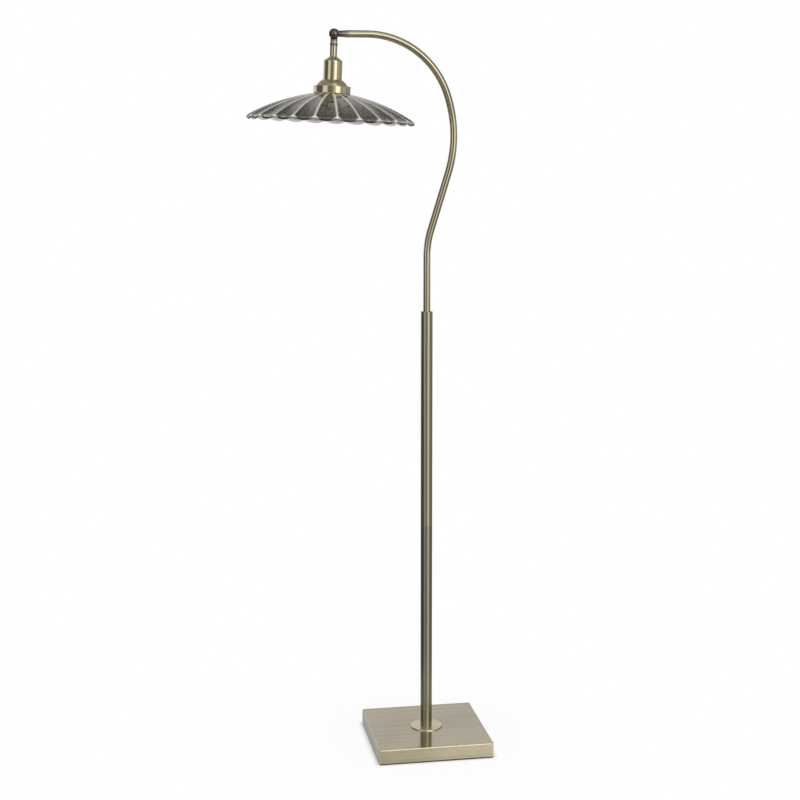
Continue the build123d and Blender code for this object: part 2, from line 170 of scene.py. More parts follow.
# Glass shade
shade_d = 0.3496
shade_arc_r = 0.388
shade_arc_offset = 0.027
seat_play = 0.0003
glass_t = 0.004
seat_r = 0.026
hole_r = 0.015
flute_count = 24
flute_depth = 0.005
flute_growth = 1.5
flute_turn = math.radians(12.0)
ridge_round = 0.10
ridge_crowding = 0.6
flute_steps = 28
rim_steps = 10
wall_steps = 64

# Tints of the glass, painted light: painted highlights on the ridges that widen into feet at the rim, painted
# shade beside them and on the lower panels
ridge_w = 0.0043
ridge_share_max = 0.3
ridge_foot_share = 0.28
foot_h = 0.008
shadow_share = 0.11
low_shade_h = 0.05
low_shade_peak_h = 0.013
low_shade_foot_h = 0.004
rim_light_h = 0.01

# Meshes
segments = 128
fillet_steps = 6
sharp_deg = 40.0
pad_sharp_deg = 50.0
glass_sharp_deg = 60.0

# Finishes: noise from cloud_low to cloud_high runs from dull to bright, and spreads are shares of roughness
cloud_low = 0.3
cloud_high = 0.7
grain_h = 0.0001
wear_and_highlight_gain = 1.5
tone_low = 0.32
tone_high = 0.68
tone_spread = 0.35
fine_share = 0.2
band_share = 0.5
patina_share = 0.3
brush_turn = 0.25
lacquer_roughness = 0.06
brass_spread = (1.12, 0.88)
cast_spread = (1.2, 0.85)
cast_grain = 0.08
cast_grain_scale = 30
moulded_spread = (0.85, 1.1)
moulded_grain = 0.5
knuckle_roughness = (0.16, 0.1)
knuckle_grain = 0.01
glass_ior = 1.5
glass_roughness = 0.03
glass_cloud = 0.93
ripple = 0.04
ripple_h = 0.002
ridge_roughness = 0.25
ridge_transmission = 0.35


def rounded(corners):
    """Closed outline through corners of (x, y, fillet radius), each fillet drawn as an arc."""
    points = []
    for index, (x, y, fillet) in enumerate(corners):
        here = Vector((x, y))
        if fillet == 0:
            points.append(here)
            continue
        to_before = (Vector(corners[index - 1][:2]) - here).normalized()
        to_after = (Vector(corners[(index + 1) % len(corners)][:2]) - here).normalized()
        half = to_before.angle(to_after) / 2
        centre = here + (to_before + to_after).normalized() * (fillet / math.sin(half))
        first = here + to_before * (fillet / math.tan(half)) - centre
        last = here + to_after * (fillet / math.tan(half)) - centre
        start = math.atan2(first.y, first.x)
        turn = math.remainder(math.atan2(last.y, last.x) - start, math.tau)
        for step in range(fillet_steps + 1):
            angle = start + turn * step / fillet_steps
            points.append(centre + fillet * Vector((math.cos(angle), math.sin(angle))))
    return points


def lengths(points):
    """Distance along a closed line of points, at each point and back at the first."""
    along = [0.0]
    for index in range(len(points)):
        along.append(along[-1] + (points[(index + 1) % len(points)] - points[index]).length)
    return along


def grid_mesh(name, grid, along, across, place, sharp=sharp_deg):
    """Closed mesh of a grid of points that joins up both ways.

    Its UV map runs along the brush lines, round each row, and across them, from row to row.
    """
    rows, columns = len(grid), len(grid[0])
    vertices = [point for row in grid for point in row]
    faces = []
    corners = []
    for i in range(rows):
        for j in range(columns):
            here, above = i * columns, (i + 1) % rows * columns
            next_j = (j + 1) % columns
            faces.append((here + j, here + next_j, above + next_j, above + j))
            corners += [(along[j], across[i]), (along[j + 1], across[i])]
            corners += [(along[j + 1], across[i + 1]), (along[j], across[i + 1])]
    mesh = bpy.data.meshes.new(name)
    mesh.from_pydata(vertices, [], faces)
    brush = mesh.uv_layers.new(name="brush")
    brush.data.foreach_set("uv", [value for corner in corners for value in corner])
    return finish_mesh(name, mesh, place, sharp)


def finish_mesh(name, mesh, place, sharp):
    """Object of a mesh with its faces turned outwards, smooth but for its sharp edges."""
    work = bmesh.new()
    work.from_mesh(mesh)
    bmesh.ops.recalc_face_normals(work, faces=work.faces)
    work.to_mesh(mesh)
    work.free()
    mesh.polygons.foreach_set("use_smooth", [True] * len(mesh.polygons))
    mesh.set_sharp_from_angle(angle=math.radians(sharp))
    piece = bpy.data.objects.new(name, mesh)
    bpy.context.scene.collection.objects.link(piece)
    piece.matrix_world = place
    piece.modifiers.new("flat_faces", "WEIGHTED_NORMAL").keep_sharp = True
    return piece


def lathe(name, outline, place, swell=None, count=segments):
    """Ring turned from a closed outline of (radius, height) about the local Z axis."""
    angles = [math.tau * step / count for step in range(count)]
    widest = max(point.x for point in outline)
    grid = []
    for point in outline:
        row = []
        for angle in angles:
            radius = point.x + (swell(point, angle) if swell else 0.0)
            row.append(Vector((radius * math.cos(angle), radius * math.sin(angle), point.y)))
        grid.append(row)
    along = [widest * math.tau * step / count for step in range(count + 1)]
    return grid_mesh(name, grid, along, lengths(outline), place)


def turned(node, place):
    """Outer and inner radius, foot and top of a turned node, in the frame of place."""
    back = place.inverted()
    points = [back @ vertex.co for vertex in nodes[node].data.vertices]
    radii = [math.hypot(point.x, point.y) for point in points]
    heights = [point.z for point in points]
    return max(radii), min(radii), min(heights), max(heights)


def dress(piece, node, body, finish):
    """Puts a piece in a node's place, on the node's body and with the given finish, and hides the node."""
    piece.data.materials.append(finish)
    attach(piece, body)
    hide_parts(node)
    return piece


class Graph:
    """Node tree with short calls to add a node and to fill its inputs."""

    def __init__(self, tree):
        self.tree = tree
        tree.nodes.clear()

    def add(self, kind, inputs=None, **settings):
        node = self.tree.nodes.new("ShaderNode" + kind)
        for key, value in settings.items():
            setattr(node, key, value)
        for key, value in (inputs or {}).items():
            if isinstance(value, bpy.types.NodeSocket):
                self.tree.links.new(value, node.inputs[key])
            else:
                node.inputs[key].default_value = value
        return node

    def math(self, operation, first, second=0.0):
        return self.add("Math", {0: first, 1: second}, operation=operation).outputs[0]

    def vector(self, operation, first, second):
        return self.add("VectorMath", {0: first, 1: second}, operation=operation)

    def noise(self, vector, scale, detail=2.0, roughness=0.5):
        inputs = {"Vector": vector, "Scale": scale, "Detail": detail, "Roughness": roughness}
        return self.add("TexNoise", inputs).outputs["Fac"]

    def range(self, value, low, high, to_low, to_high):
        inputs = {"Value": value, "From Min": low, "From Max": high, "To Min": to_low, "To Max": to_high}
        return self.add("MapRange", inputs).outputs["Result"]

    def ramp(self, factor, stops):
        node = self.add("ValToRGB", {"Fac": factor})
        elements = node.color_ramp.elements
        while len(elements) < len(stops):
            elements.new(1.0)
        for element, (position, colour) in zip(elements, stops):
            element.position = position
            element.color = (*colour, 1.0)
        return node.outputs["Color"]

    def clouds(self, factor, dull, bright):
        return self.ramp(factor, ((cloud_low, dull), (cloud_high, bright)))

    def gloss(self, factor, roughness, spread):
        return self.range(factor, cloud_low, cloud_high, roughness * spread[0], roughness * spread[1])

    def mix(self, factor, first, second):
        return self.add("MixRGB", {"Fac": factor, "Color1": first, "Color2": second}).outputs[0]

    def attribute(self, name):
        return self.add("Attribute", attribute_name=name).outputs["Fac"]

    def bump(self, height, strength, distance):
        inputs = {"Height": height, "Strength": strength, "Distance": distance}
        return self.add("Bump", inputs).outputs["Normal"]


def shader(name, build):
    """Material whose Principled inputs come from build."""
    made = bpy.data.materials.new(name)
    made.use_nodes = True
    graph = Graph(made.node_tree)
    principled = graph.add("BsdfPrincipled", build(graph))
    graph.add("OutputMaterial", {"Surface": principled.outputs[0]})
    return made


def brass(name, bright, dull, roughness, anisotropy, streak, coat=0.0, bump=0.02):
    """Brushed plate with worn edges that also carry a painted highlight: lines along the UV map, bands of tone,
    cloudy patina and lacquer.
    """

    def build(graph):
        place = graph.add("TexCoord").outputs["Object"]
        brush = graph.add("UVMap", uv_map="brush").outputs["UV"]
        across = graph.add("SeparateXYZ", {0: brush}).outputs["Y"]

        def lines(slow, fast, detail):
            shift = graph.add("CombineXYZ", {"Z": graph.math("MULTIPLY", across, fast)}).outputs[0]
            scaled = graph.vector("MULTIPLY", place, (slow, slow, slow)).outputs[0]
            return graph.noise(graph.vector("ADD", scaled, shift).outputs[0], 1.0, detail)

        fine = lines(slow=5.0, fast=1400.0, detail=2.0)
        bands = lines(slow=1.4, fast=160.0, detail=3.0)
        patina = graph.noise(place, scale=7.0, detail=4.0)
        tone = graph.math(
            "ADD", graph.math("MULTIPLY", fine, fine_share), graph.math("MULTIPLY", bands, band_share)
        )
        tone = graph.math("ADD", tone, graph.math("MULTIPLY", patina, patina_share))
        spread = tone_spread * streak
        shade = graph.range(tone, tone_low, tone_high, 0.5 - spread, 0.5 + spread)
        plate = graph.ramp(shade, ((0.0, dull), (1.0, bright)))
        # Edges lighter than the plate: partly wear, partly a painted highlight along the roundings
        bare_and_highlight = (*[min(1.0, value * wear_and_highlight_gain) for value in bright], 1.0)
        return {
            "Base Color": graph.mix(graph.attribute("wear_and_highlight"), plate, bare_and_highlight),
            "Metallic": 1.0,
            "Roughness": graph.gloss(tone, roughness, brass_spread),
            "Anisotropic": anisotropy,
            "Anisotropic Rotation": brush_turn,
            "Tangent": graph.add("Tangent", direction_type="UV_MAP", uv_map="brush").outputs[0],
            "Coat Weight": coat,
            "Coat Roughness": lacquer_roughness,
            "Normal": graph.bump(fine, bump, grain_h),
        }

    return shader(name, build)


def cast_metal(name, bright, dull, roughness, scale):
    """Plated or cast metal with a cloudy tone and a faint grain."""

    def build(graph):
        place = graph.add("TexCoord").outputs["Object"]
        patina = graph.noise(place, scale, detail=5.0, roughness=0.6)
        grain = graph.noise(place, scale * cast_grain_scale)
        return {
            "Base Color": graph.clouds(patina, dull, bright),
            "Metallic": 1.0,
            "Roughness": graph.gloss(patina, roughness, cast_spread),
            "Normal": graph.bump(grain, cast_grain, grain_h),
        }

    return shader(name, build)


def moulded(name, light, dark, roughness, grain_scale, grain_depth, coat=0.0):
    """Rubber, foam or plastic with a fine moulded grain."""

    def build(graph):
        place = graph.add("TexCoord").outputs["Object"]
        cloud = graph.noise(place, scale=40.0, detail=3.0)
        grain = graph.noise(place, grain_scale, detail=3.0)
        return {
            "Base Color": graph.clouds(cloud, dark, light),
            "Roughness": graph.gloss(grain, roughness, moulded_spread),
            "Coat Weight": coat,
            "Normal": graph.bump(grain, moulded_grain, grain_depth),
        }

    return shader(name, build)


def knuckle_metal(name, ball_bright, ball_dull, stem_bright, stem_dull):
    """Dark polished ball whose stem and arm clear to brass away from it."""

    def build(graph):
        place = graph.add("TexCoord").outputs["Object"]
        offset = graph.vector("SUBTRACT", place, tuple(ball)).outputs[0]
        distance = graph.vector("LENGTH", offset, (0, 0, 0)).outputs["Value"]
        reach = graph.add("SeparateXYZ", {0: offset}).outputs["X"]
        along_arm = graph.range(reach, *arm_fade, 0.0, 1.0)
        beside_arm = graph.math("LESS_THAN", reach, arm_fade[0])
        away = graph.math(
            "MULTIPLY",
            graph.range(distance, knuckle_dark_r, knuckle_clear_r, 0.0, 1.0),
            graph.math("MAXIMUM", along_arm, beside_arm),
        )
        patina = graph.noise(place, scale=60.0, detail=4.0, roughness=0.6)
        grain = graph.noise(place, scale=900.0)
        dark = graph.clouds(patina, ball_dull, ball_bright)
        clear = graph.clouds(patina, stem_dull, stem_bright)
        return {
            "Base Color": graph.mix(away, dark, clear),
            "Metallic": 1.0,
            "Roughness": graph.gloss(patina, 1.0, knuckle_roughness),
            "Normal": graph.bump(grain, knuckle_grain, grain_h),
        }

    return shader(name, build)


def smoked_glass(name, smoke, painted_low_shade, painted_flank_shade, painted_ridge_highlight, painted_rim_light):
    """Smoke-grey glass with painted shade towards the rim and along one flank of each ridge, and painted
    highlights on ridges and rim.
    """

    def build(graph):
        place = graph.add("TexCoord").outputs["Object"]
        edge = graph.attribute("edge")
        cloud = graph.noise(place, scale=18.0, detail=3.0)
        waves = graph.noise(place, scale=55.0)
        tint = graph.clouds(cloud, [value * glass_cloud for value in smoke], smoke)
        # Painted shade on the lower panels and beside the ridges, painted highlights on the ridges and the rim
        tint = graph.mix(graph.attribute("low"), tint, (*painted_low_shade, 1.0))
        tint = graph.mix(graph.attribute("flank"), tint, (*painted_flank_shade, 1.0))
        tint = graph.mix(edge, tint, (*painted_ridge_highlight, 1.0))
        tint = graph.mix(graph.attribute("rim"), tint, (*painted_rim_light, 1.0))
        return {
            "Base Color": tint,
            "Roughness": graph.range(edge, 0.0, 1.0, glass_roughness, ridge_roughness),
            "IOR": glass_ior,
            "Transmission Weight": graph.range(edge, 0.0, 1.0, 1.0, ridge_transmission),
            "Normal": graph.bump(waves, ripple, ripple_h),
        }

    return shader(name, build)


antique_brass = brass(
    "antique_brass", (0.48, 0.43, 0.31), (0.39, 0.35, 0.25),
    roughness=0.2, anisotropy=0.6, streak=0.5, bump=0.01,
)
lower_brass = brass(
    "lower_brass", (0.38, 0.345, 0.25), (0.32, 0.29, 0.21),
    roughness=0.22, anisotropy=0.6, streak=0.5, bump=0.01,
)
neck_brass = brass(
    "neck_brass", (0.55, 0.485, 0.33), (0.47, 0.415, 0.28),
    roughness=0.07, anisotropy=0.3, streak=0.4, bump=0.0,
)
stem_brass = brass(
    "stem_brass", (0.56, 0.51, 0.40), (0.48, 0.44, 0.34),
    roughness=0.1, anisotropy=0.2, streak=0.4, bump=0.0,
)
base_brass = brass(
    "base_brass", (0.67, 0.585, 0.40), (0.43, 0.37, 0.25),
    roughness=0.22, anisotropy=0.9, streak=1.6, coat=0.8, bump=0.05,
)
flange_brass = brass(
    "flange_brass", (0.92, 0.83, 0.59), (0.84, 0.76, 0.54), roughness=0.36, anisotropy=0.3, streak=0.7
)
polished_brass = brass(
    "polished_brass", (0.66, 0.58, 0.37), (0.57, 0.50, 0.32), roughness=0.14, anisotropy=0.4, streak=0.6
)
dark_bronze = cast_metal(
    "dark_bronze", (0.30, 0.27, 0.215), (0.20, 0.18, 0.14), roughness=0.16, scale=60.0
)
knuckle_bronze = knuckle_metal(
    "knuckle_bronze",
    ball_bright=(0.22, 0.205, 0.18),
    ball_dull=(0.14, 0.13, 0.11),
    stem_bright=(0.54, 0.48, 0.36),
    stem_dull=(0.45, 0.40, 0.30),
)
plated_steel = cast_metal(
    "plated_steel", (0.62, 0.60, 0.55), (0.48, 0.46, 0.41), roughness=0.3, scale=80.0
)
bright_brass = cast_metal(
    "bright_brass", (0.78, 0.60, 0.28), (0.62, 0.46, 0.2), roughness=0.24, scale=90.0
)
cast_iron = cast_metal("cast_iron", (0.14, 0.14, 0.14), (0.07, 0.07, 0.07), roughness=0.6, scale=45.0)
pad_foam = moulded(
    "pad_foam", (0.05, 0.05, 0.052), (0.02, 0.02, 0.02),
    roughness=0.9, grain_scale=900.0, grain_depth=0.0006,
)
black_rubber = moulded(
    "black_rubber", (0.035, 0.035, 0.035), (0.015, 0.015, 0.015),
    roughness=0.55, grain_scale=1500.0, grain_depth=0.0001,
)
phenolic = moulded(
    "phenolic", (0.07, 0.06, 0.05), (0.03, 0.026, 0.022),
    roughness=0.3, grain_scale=1200.0, grain_depth=0.00005, coat=0.4,
)
nylon = moulded(
    "nylon", (0.8, 0.78, 0.7), (0.7, 0.68, 0.6),
    roughness=0.45, grain_scale=900.0, grain_depth=0.00005,
)
# The gasket's brownish mid tone is painted shade, standing in for the shaded line under the band
clear_silicone = moulded(
    "clear_silicone", (0.42, 0.38, 0.29), (0.32, 0.29, 0.22),
    roughness=0.4, grain_scale=900.0, grain_depth=0.00005,
)
# Besides the smoke, these tints are painted shade (low, flank) and painted highlights (ridge, rim)
shade_glass = smoked_glass(
    "shade_glass",
    smoke=(0.31, 0.288, 0.252),
    painted_low_shade=(0.12, 0.11, 0.096),
    painted_flank_shade=(0.04, 0.035, 0.03),
    painted_ridge_highlight=(0.52, 0.495, 0.435),
    painted_rim_light=(0.95, 0.93, 0.88),
)

node_finishes = {
    "antique_brass": antique_brass,
    "dark_bronze": knuckle_bronze,
    "bright_brass": bright_brass,
    "plated_steel": plated_steel,
    "cast_iron": cast_iron,
    "pad_foam": pad_foam,
    "black_rubber": black_rubber,
    "clear_silicone": clear_silicone,
    "nylon": nylon,
    "phenolic": phenolic,
    "smoked_glass": shade_glass,
}
for node, slot in slots.items():
    materials = nodes[node].data.materials
    materials.clear()
    materials.append(node_finishes[slot])


def square_loop(half, corner_r, height):
    """Rounded square at a height, once round from the start of its +X side."""
    loop = []
    flat = half - corner_r
    for quarter in range(4):
        turn = Matrix.Rotation(quarter * math.pi / 2, 3, "Z")
        for step in range(side_steps):
            loop.append(turn @ Vector((half, flat * (2 * step / side_steps - 1), height)))
        for step in range(corner_steps):
            angle = math.pi / 2 * step / corner_steps
            corner = Vector((flat + corner_r * math.cos(angle), flat + corner_r * math.sin(angle), height))
            loop.append(turn @ corner)
    return loop


def hole_loop(loop, radius, height):
    """Circle with its points at the same bearings as a loop's."""
    return [Vector((point.x, point.y, 0)).normalized() * radius + up * height for point in loop]


def brush_sides(piece):
    """Lays the UV map so that brush lines run level, along Y on the faces towards X, else along X."""
    mesh = piece.data
    brush = mesh.uv_layers["brush"].data
    for face in mesh.polygons:
        along_y = abs(face.normal.x) > max(abs(face.normal.y), abs(face.normal.z))
        flat = abs(face.normal.z) > level_normal
        for loop in face.loop_indices:
            point = mesh.vertices[mesh.loops[loop].vertex_index].co
            along = point.y if along_y else point.x
            brush[loop].uv = (along, point.y if flat else point.z)


def mark_wear_and_highlight(piece, half, top):
    """Marks wear with a painted highlight on the upright corners and the top edge, most along the middle of each
    rounding.
    """
    flat = half - base_corner_r
    values = []
    for vertex in piece.data.vertices:
        x, y, z = abs(vertex.co.x), abs(vertex.co.y), vertex.co.z
        corner = math.atan2(y - flat, x - flat) if min(x, y) > flat else 0.0
        rise = min(1.0, max(0.0, (z - top + base_edge_r) / base_edge_r))
        edge = math.asin(rise) if max(x, y) > half - wear_and_highlight_reach else 0.0
        values.append(max(math.sin(2 * corner) * (1 - rise), math.sin(2 * edge), 0.0))
    piece.data.attributes.new("wear_and_highlight", "FLOAT", "POINT").data.foreach_set("value", values)


def make_base_cover():
    low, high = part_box("base_cover")
    half = (high.x - low.x) / 2
    bottom, top = low.z, high.z
    hole = turned("foot_flange", stand_place)[1]

    def shell(half, corner_r, round_r, top):
        loops = [square_loop(half, corner_r, bottom)]
        for step in range(base_edge_steps + 1):
            angle = math.pi / 2 * step / base_edge_steps
            inset = round_r * (1 - math.cos(angle))
            rise = round_r * (1 - math.sin(angle))
            loops.append(square_loop(half - inset, corner_r - inset / 2, top - rise))
        for share in top_ring_shares:
            ring_r = hole + (half - hole) * share
            loops.append(hole_loop(loops[0], ring_r, top))
        loops.append(hole_loop(loops[0], hole, top))
        return loops

    loops = shell(half, base_corner_r, base_edge_r, top)
    inner = shell(half - cover_wall, base_corner_r - cover_wall, base_edge_r - cover_wall, top - cover_wall)
    grid = loops + inner[::-1]
    along = [0.0] * (len(grid[0]) + 1)
    cover = grid_mesh("brass_base_cover", grid, along, [0.0] * (len(grid) + 1), stand_place)
    cut_grommet_hole(cover)
    brush_sides(cover)
    mark_wear_and_highlight(cover, half, top)
    return dress(cover, "base_cover", "stand", base_brass)


def cut_grommet_hole(cover):
    """Opens the rear wall where the grommet's neck passes."""
    low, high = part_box("cable_grommet")
    centre = (low + high) / 2
    work = bmesh.new()
    bmesh.ops.create_cone(
        work,
        cap_ends=True,
        segments=grommet_cut_segments,
        radius1=grommet_hole_r,
        radius2=grommet_hole_r,
        depth=grommet_cut_depth,
        matrix=Matrix.Translation(centre) @ Matrix.Rotation(math.pi / 2, 4, "X"),
    )
    mesh = bpy.data.meshes.new("grommet_cutter")
    work.to_mesh(mesh)
    work.free()
    cutter = bpy.data.objects.new("grommet_cutter", mesh)
    bpy.context.scene.collection.objects.link(cutter)
    boolean = cover.modifiers.new("grommet_hole", "BOOLEAN")
    boolean.object = cutter
    boolean.solver = "EXACT"
    bpy.context.view_layer.update()
    evaluated = cover.evaluated_get(bpy.context.evaluated_depsgraph_get())
    cut = bpy.data.meshes.new_from_object(evaluated)
    cover.modifiers.remove(boolean)
    cover.data = cut
    bpy.data.objects.remove(cutter)


def make_base_pad():
    low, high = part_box("base_pad")
    half = (high.x - low.x) / 2
    inset = pad_edge_r
    bevel = inset * pad_bevel_share
    loops = [
        square_loop(half - inset, base_corner_r, low.z),
        square_loop(half - bevel, base_corner_r, low.z + bevel),
        square_loop(half, base_corner_r, low.z + inset),
        square_loop(half, base_corner_r, high.z - inset),
        square_loop(half - bevel, base_corner_r, high.z - bevel),
        square_loop(half - inset, base_corner_r, high.z),
    ]
    count = len(loops[0])
    vertices = [point for loop in loops for point in loop]
    faces = [list(range(count)), list(range((len(loops) - 1) * count, len(loops) * count))]
    for i in range(len(loops) - 1):
        here, above = i * count, (i + 1) * count
        for j in range(count):
            next_j = (j + 1) % count
            faces.append((here + j, here + next_j, above + next_j, above + j))
    mesh = bpy.data.meshes.new("foam_base_pad")
    mesh.from_pydata(vertices, [], faces)
    pad = finish_mesh("foam_base_pad", mesh, stand_place, pad_sharp_deg)
    return dress(pad, "base_pad", "stand", pad_foam)


def make_grommet():
    low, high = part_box("cable_grommet")
    centre = (low + high) / 2
    place = Matrix.Translation(centre) @ Matrix.Rotation(-math.pi / 2, 4, "X")
    outer, bore, foot, top = turned("cable_grommet", place)
    neck = outer - grommet_groove
    inner_lip = foot + grommet_lip
    outer_lip = top - grommet_lip
    outline = rounded((
        (bore, foot, grommet_lip_r), (outer, foot, grommet_inner_r), (outer, inner_lip, grommet_lip_r),
        (neck, inner_lip, 0), (neck, outer_lip, 0), (outer, outer_lip, grommet_lip_r),
        (outer, top, grommet_outer_r), (bore, top, grommet_mouth_r),
    ))
    grommet = lathe("rubber_cable_grommet", outline, place, count=grommet_segments)
    return dress(grommet, "cable_grommet", "stand", black_rubber)


def make_ring(name, node, body, finish, foot_r, top_r):
    """Plain turned ring or tube with its outer edges rounded."""
    place = places[body]
    outer, bore, foot, top = turned(node, place)
    outline = rounded((
        (bore, foot, 0), (outer, foot, foot_r), (outer, top, top_r), (bore, top, 0),
    ))
    return dress(lathe(name, outline, place), node, body, finish)


def make_cap_bush():
    outer, bore, foot, top = turned("cap_bush", stand_place)
    _, tube_bore, _, seat = turned("upper_tube", stand_place)
    plug = tube_bore - plug_fit
    outline = rounded((
        (bore, foot, 0), (plug, foot, edge_r), (plug, seat, 0), (outer, seat, bush_seat_r),
        (outer, top, bush_edge_r), (bore, top, bush_mouth_r),
    ))
    return dress(lathe("brass_cap_bush", outline, stand_place), "cap_bush", "stand", antique_brass)


def neck_path():
    """Centre line of the swan neck as points and headings, from straight runs and tangent arcs in XZ."""
    foot = turned("cap_bush", stand_place)[2]
    place = Vector((0, 0, foot))
    heading = math.pi / 2
    line = [(place.copy(), heading)]

    def run(length):
        nonlocal place
        place = place + length * Vector((math.cos(heading), 0, math.sin(heading)))
        line.append((place.copy(), heading))

    def turn(radius, angle):
        nonlocal place, heading
        steps = math.ceil(abs(angle) / bend_step)
        for _ in range(steps):
            half = angle / steps / 2
            heading += half
            chord = 2 * radius * abs(math.sin(half))
            place = place + chord * Vector((math.cos(heading), 0, math.sin(heading)))
            heading += half
            line.append((place.copy(), heading))

    run(neck_bend_z - foot)
    turn(lean_r, -lean_angle)
    run(lean_run)
    turn(side_r, side_angle)
    turn(crown_r, math.pi / 2 + lean_angle - side_angle)
    run(arm_run)
    return line


def make_swan_neck():
    line = neck_path()
    walls = []
    for radius in (neck_d / 2, neck_d / 2 - neck_wall):
        wall = []
        for place, heading in line:
            outwards = Vector((-math.sin(heading), 0, math.cos(heading)))
            ring = []
            for step in range(neck_segments):
                angle = math.tau * step / neck_segments
                ring.append(place + radius * (math.cos(angle) * outwards + math.sin(angle) * side))
            wall.append(ring)
        walls.append(wall)
    grid = walls[0] + walls[1][::-1]
    centres = [place for place, _ in line]
    across = lengths(centres + centres[::-1])
    along = [neck_d / 2 * math.tau * step / neck_segments for step in range(neck_segments + 1)]
    neck = grid_mesh("brass_swan_neck", grid, along, across, stand_place)
    return dress(neck, "swan_neck", "stand", neck_brass)


def make_holder_cap():
    outer, bore, foot, top = turned("holder_cap", head_place)
    floor = top - cap_shoulder_h
    outline = rounded((
        (bore, top, 0), (bore, floor, 0), (outer - cap_wall, floor, 0), (outer - cap_wall, foot, 0),
        (outer, foot, edge_r), (outer, floor, cap_shoulder_r), (cap_top_r, top, edge_r),
    ))
    return dress(lathe("brass_holder_cap", outline, head_place), "holder_cap", "head", polished_brass)


def arc_through(first, middle, last, steps):
    """Points of the arc through three points of a plane, without its last point."""
    (ax, ay), (bx, by), (cx, cy) = first, middle, last
    doubled = 2 * (ax * (by - cy) + bx * (cy - ay) + cx * (ay - by))
    a2, b2, c2 = ax * ax + ay * ay, bx * bx + by * by, cx * cx + cy * cy
    centre = Vector((
        (a2 * (by - cy) + b2 * (cy - ay) + c2 * (ay - by)) / doubled,
        (a2 * (cx - bx) + b2 * (ax - cx) + c2 * (bx - ax)) / doubled,
    ))
    start = math.atan2(ay - centre.y, ax - centre.x)
    turn = math.remainder(math.atan2(cy - centre.y, cx - centre.x) - start, math.tau)
    radius = math.hypot(ax - centre.x, ay - centre.y)
    points = []
    for step in range(steps):
        angle = start + turn * step / steps
        points.append(centre + radius * Vector((math.cos(angle), math.sin(angle))))
    return points


def make_shade_cap():
    outer, bore, foot, top = turned("shade_cap", head_place)
    ledge = top - dome_h
    middle = top - dome_mid_h
    dome = arc_through((dome_top_r, top), (dome_mid_r, middle), (dome_foot_r, ledge), dome_steps)
    skin = dome + rounded((
        (dome_foot_r, ledge, 0), (outer, ledge, band_edge_r), (outer, foot, edge_r),
        (outer - cap_wall, foot, 0),
    ))
    inner_ledge = ledge - cap_wall
    mid_in, mid_down = dome_mid_wall
    inside = [
        Vector((outer - cap_wall, inner_ledge)),
        Vector((dome_foot_r - dome_foot_wall, inner_ledge)),
        Vector((dome_mid_r - mid_in, middle - mid_down)),
        Vector((dome_top_r - dome_top_wall, top - cap_wall)),
        Vector((bore, top - cap_wall)),
        Vector((bore, top)),
    ]
    return dress(lathe("brass_shade_cap", skin + inside, head_place), "shade_cap", "head", polished_brass)


def flute_shape(share):
    """Depth of a panel across its width, 0 on the rounded ridges and 1 in the middle."""
    hollow = 1 - (2 * share - 1) ** 2
    return (1 + ridge_round) * hollow * hollow / (hollow + ridge_round)


def flute_bearings():
    """Bearing and share of its panel of each column of the glass, closer together by the ridges."""
    bearings = []
    for flute in range(flute_count):
        for step in range(flute_steps):
            even = step / flute_steps
            share = even - ridge_crowding * math.sin(math.tau * even) / math.tau
            bearings.append((flute_turn + math.tau * (flute + share) / flute_count, share))
    return bearings


def glass_outline(seat_angle, rim_angle):
    """Outline as (angle from the axis, depth below the outer face): out, round the rim and back inside."""
    turn_r = glass_t / 2
    last_angle = rim_angle - turn_r / shade_arc_r
    wall = [seat_angle + (last_angle - seat_angle) * step / wall_steps for step in range(wall_steps + 1)]
    outline = [(angle, 0.0) for angle in wall]
    for step in range(1, rim_steps):
        angle = math.pi * step / rim_steps
        reach = turn_r * math.sin(angle) / shade_arc_r
        outline.append((last_angle + reach, turn_r * (1 - math.cos(angle))))
    return outline + [(angle, glass_t) for angle in reversed(wall)]


def glass_tint(outside, to_rim, panel_w, share):
    """How far a point of the glass takes painted ridge highlight, painted flank shade, painted rim light and
    painted lower-panel shade.
    """
    if not outside:
        return 0.0, 0.0, math.sqrt(max(0.0, 1 - to_rim / rim_light_h)), 0.0
    foot = max(0.0, 1 - to_rim / foot_h)
    line = min(ridge_w / panel_w, ridge_share_max) + ridge_foot_share * foot**2
    edge = max(0.0, 1 - min(share, 1 - share) / line)
    flank = math.sqrt(max(0.0, 1 - abs(share - line) / shadow_share))
    # Painted shade on the lower panels, strongest a little above the rim
    fade_in = (low_shade_h - to_rim) / (low_shade_h - low_shade_peak_h)
    fade_out = (to_rim - low_shade_foot_h) / (low_shade_peak_h - low_shade_foot_h)
    low = max(0.0, min(fade_in, fade_out, 1.0))
    return edge, flank, foot * edge, low


